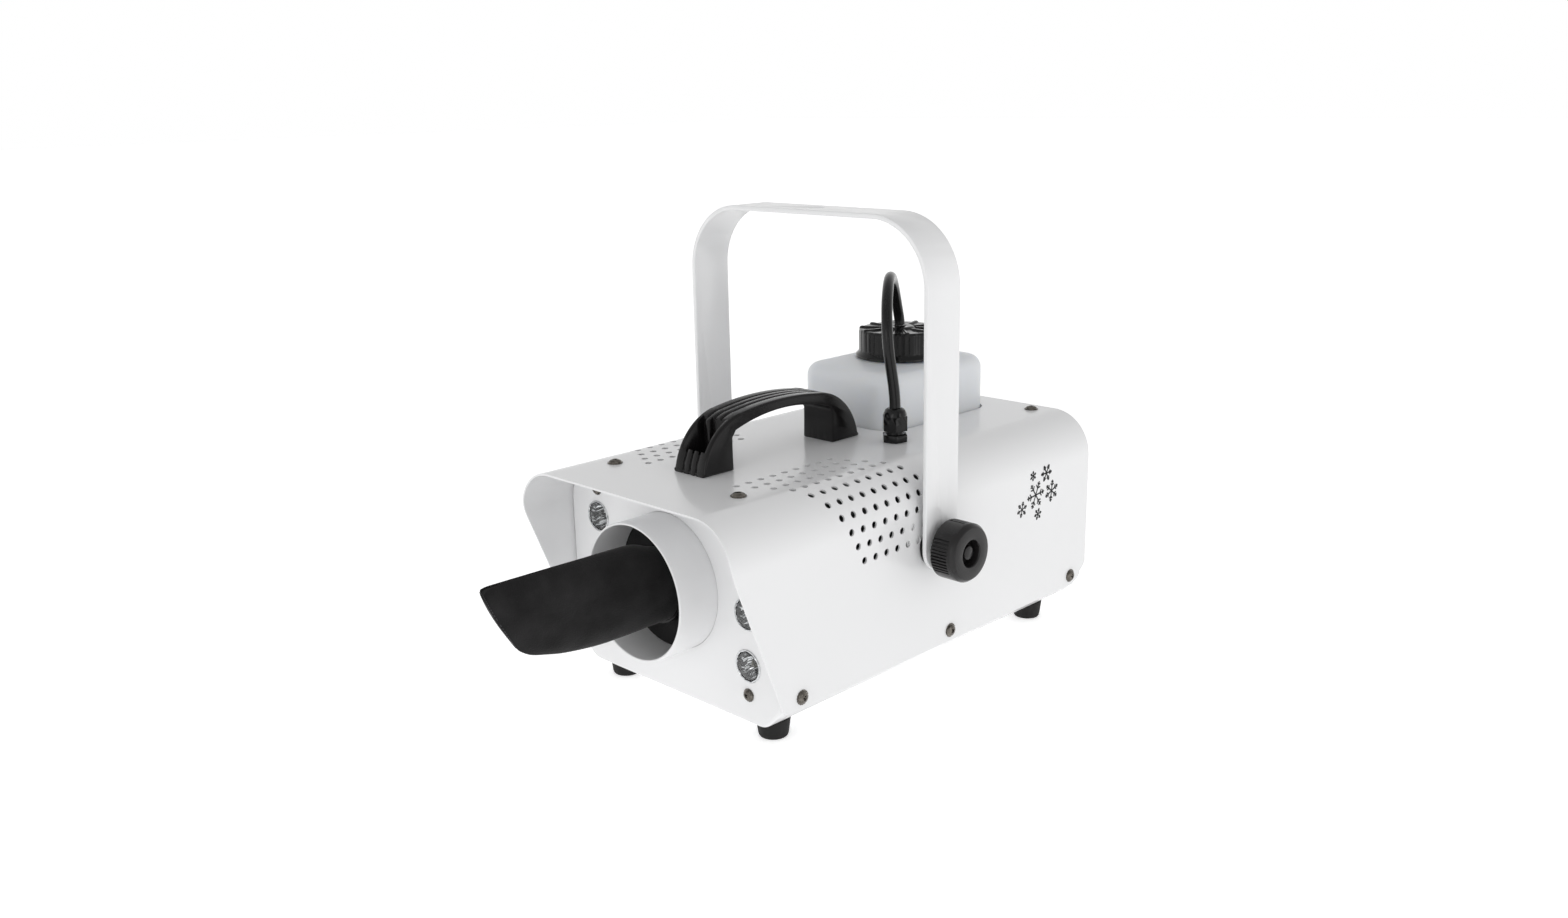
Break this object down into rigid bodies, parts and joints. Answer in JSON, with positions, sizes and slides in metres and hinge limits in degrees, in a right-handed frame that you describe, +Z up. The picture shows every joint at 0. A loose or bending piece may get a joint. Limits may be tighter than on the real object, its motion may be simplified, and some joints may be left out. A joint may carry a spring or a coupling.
{
  "type": "snow machine",
  "caption": "White steel party snow machine with a black fabric snow sock, front lamps, lift-out fluid bottle, carry handle and tilting yoke with clamp knobs.",
  "frame": {"origin": "middle of the machine's floor space, on the floor under its feet", "axes": "+Z up, +Y towards the rear panel (the snow leaves towards -Y), +X to the right of someone who stands in front of the sock's tip and looks at the front panel"},
  "size_m": [0.2422, 0.4288, 0.287],
  "materials": {
    "white_paint": "gloss",
    "black_plastic": "satin",
    "red_plastic": "gloss",
    "black_rubber": "matte",
    "black_felt": "matte",
    "milky_plastic": "satin",
    "screw_metal": "satin",
    "plain_steel": "satin",
    "lamp_reflector": "polished",
    "circuit_board": "satin",
    "brass": "satin"
  },
  "bodies": {
    "base": {"chassis": "white_paint", "top_cover": "white_paint", "bottle_well": "plain_steel", "nozzle_collar": "white_paint", "outlet_duct": "black_plastic", "spray_nozzle": "brass", "snow_sock": "black_felt", "sock_clamp": "black_plastic", "blower_housing": "black_plastic", "blower_motor": "plain_steel", "fluid_pump": "black_plastic", "power_board": "circuit_board", "led_board_left": "circuit_board", "led_board_right": "circuit_board", "carry_handle": "black_plastic", "handle_screw_1": "screw_metal", "handle_screw_2": "screw_metal", "fluid_hose": "black_rubber", "gland_body": "black_plastic", "gland_nut": "black_plastic", "power_inlet": "black_plastic", "switch_housing": "black_plastic", "button_housing": "black_plastic", "led_lamp_left_1": "lamp_reflector", "side_screw_left_1": "screw_metal", "led_lamp_left_2": "lamp_reflector", "side_screw_left_2": "screw_metal", "led_lamp_left_3": "lamp_reflector", "side_screw_left_3": "screw_metal", "top_screw_left_1": "screw_metal", "lamp_screw_left_1": "screw_metal", "top_screw_left_2": "screw_metal", "lamp_screw_left_2": "screw_metal", "pivot_stud_left": "screw_metal", "friction_washer_left": "black_rubber", "led_lamp_right_1": "lamp_reflector", "side_screw_right_1": "screw_metal", "led_lamp_right_2": "lamp_reflector", "side_screw_right_2": "screw_metal", "led_lamp_right_3": "lamp_reflector", "side_screw_right_3": "screw_metal", "top_screw_right_1": "screw_metal", "lamp_screw_right_1": "screw_metal", "top_screw_right_2": "screw_metal", "lamp_screw_right_2": "screw_metal", "pivot_stud_right": "screw_metal", "friction_washer_right": "black_rubber", "foot_front_left": "black_rubber", "foot_front_right": "black_rubber", "foot_rear_left": "black_rubber", "foot_rear_right": "black_rubber"},
    "yoke": {"yoke": "white_paint"},
    "knob_right": {"clamp_knob_right": "black_plastic"},
    "knob_left": {"clamp_knob_left": "black_plastic"},
    "bottle": {"fluid_bottle": "milky_plastic", "pickup_tube": "black_rubber"},
    "cap": {"bottle_cap": "black_plastic"},
    "impeller": {"blower_impeller": "black_plastic"},
    "rocker": {"switch_rocker": "black_plastic"},
    "button": {"test_button": "red_plastic"}
  },
  "joints": [
    {"name": "yoke_tilt", "type": "hinge", "parent": "base", "child": "yoke", "pos_m": [0, 0.0413, 0.0926], "axis": [1, 0, 0], "range_deg": [-90, 75]},
    {"name": "knob_right_turn", "type": "hinge", "parent": "base", "child": "knob_right", "pos_m": [0.108, 0.0413, 0.0926], "axis": [1, 0, 0], "range_deg": [0, 360]},
    {"name": "knob_left_turn", "type": "hinge", "parent": "base", "child": "knob_left", "pos_m": [-0.108, 0.0413, 0.0926], "axis": [-1, 0, 0], "range_deg": [0, 360]},
    {"name": "bottle_lift", "type": "slide", "parent": "base", "child": "bottle", "axis": [0, 0, 1], "range_m": [0, 0.09], "deforming": ["fluid_hose"]},
    {"name": "cap_turn", "type": "hinge", "parent": "bottle", "child": "cap", "pos_m": [-0.014, 0.137, 0.19], "axis": [0, 0, 1], "range_deg": [0, 360]},
    {"name": "impeller_spin", "type": "hinge", "parent": "base", "child": "impeller", "pos_m": [0, -0.047, 0.082], "axis": [0, 1, 0], "continuous": true},
    {"name": "power_rocker", "type": "hinge", "parent": "base", "child": "rocker", "pos_m": [0.058, 0.2093, 0.084], "axis": [1, 0, 0], "range_deg": [0, 18]},
    {"name": "button_press", "type": "slide", "parent": "base", "child": "button", "axis": [0, -1, 0], "range_m": [0, 0.003], "stiffness_N_per_m": 300}
  ]
}
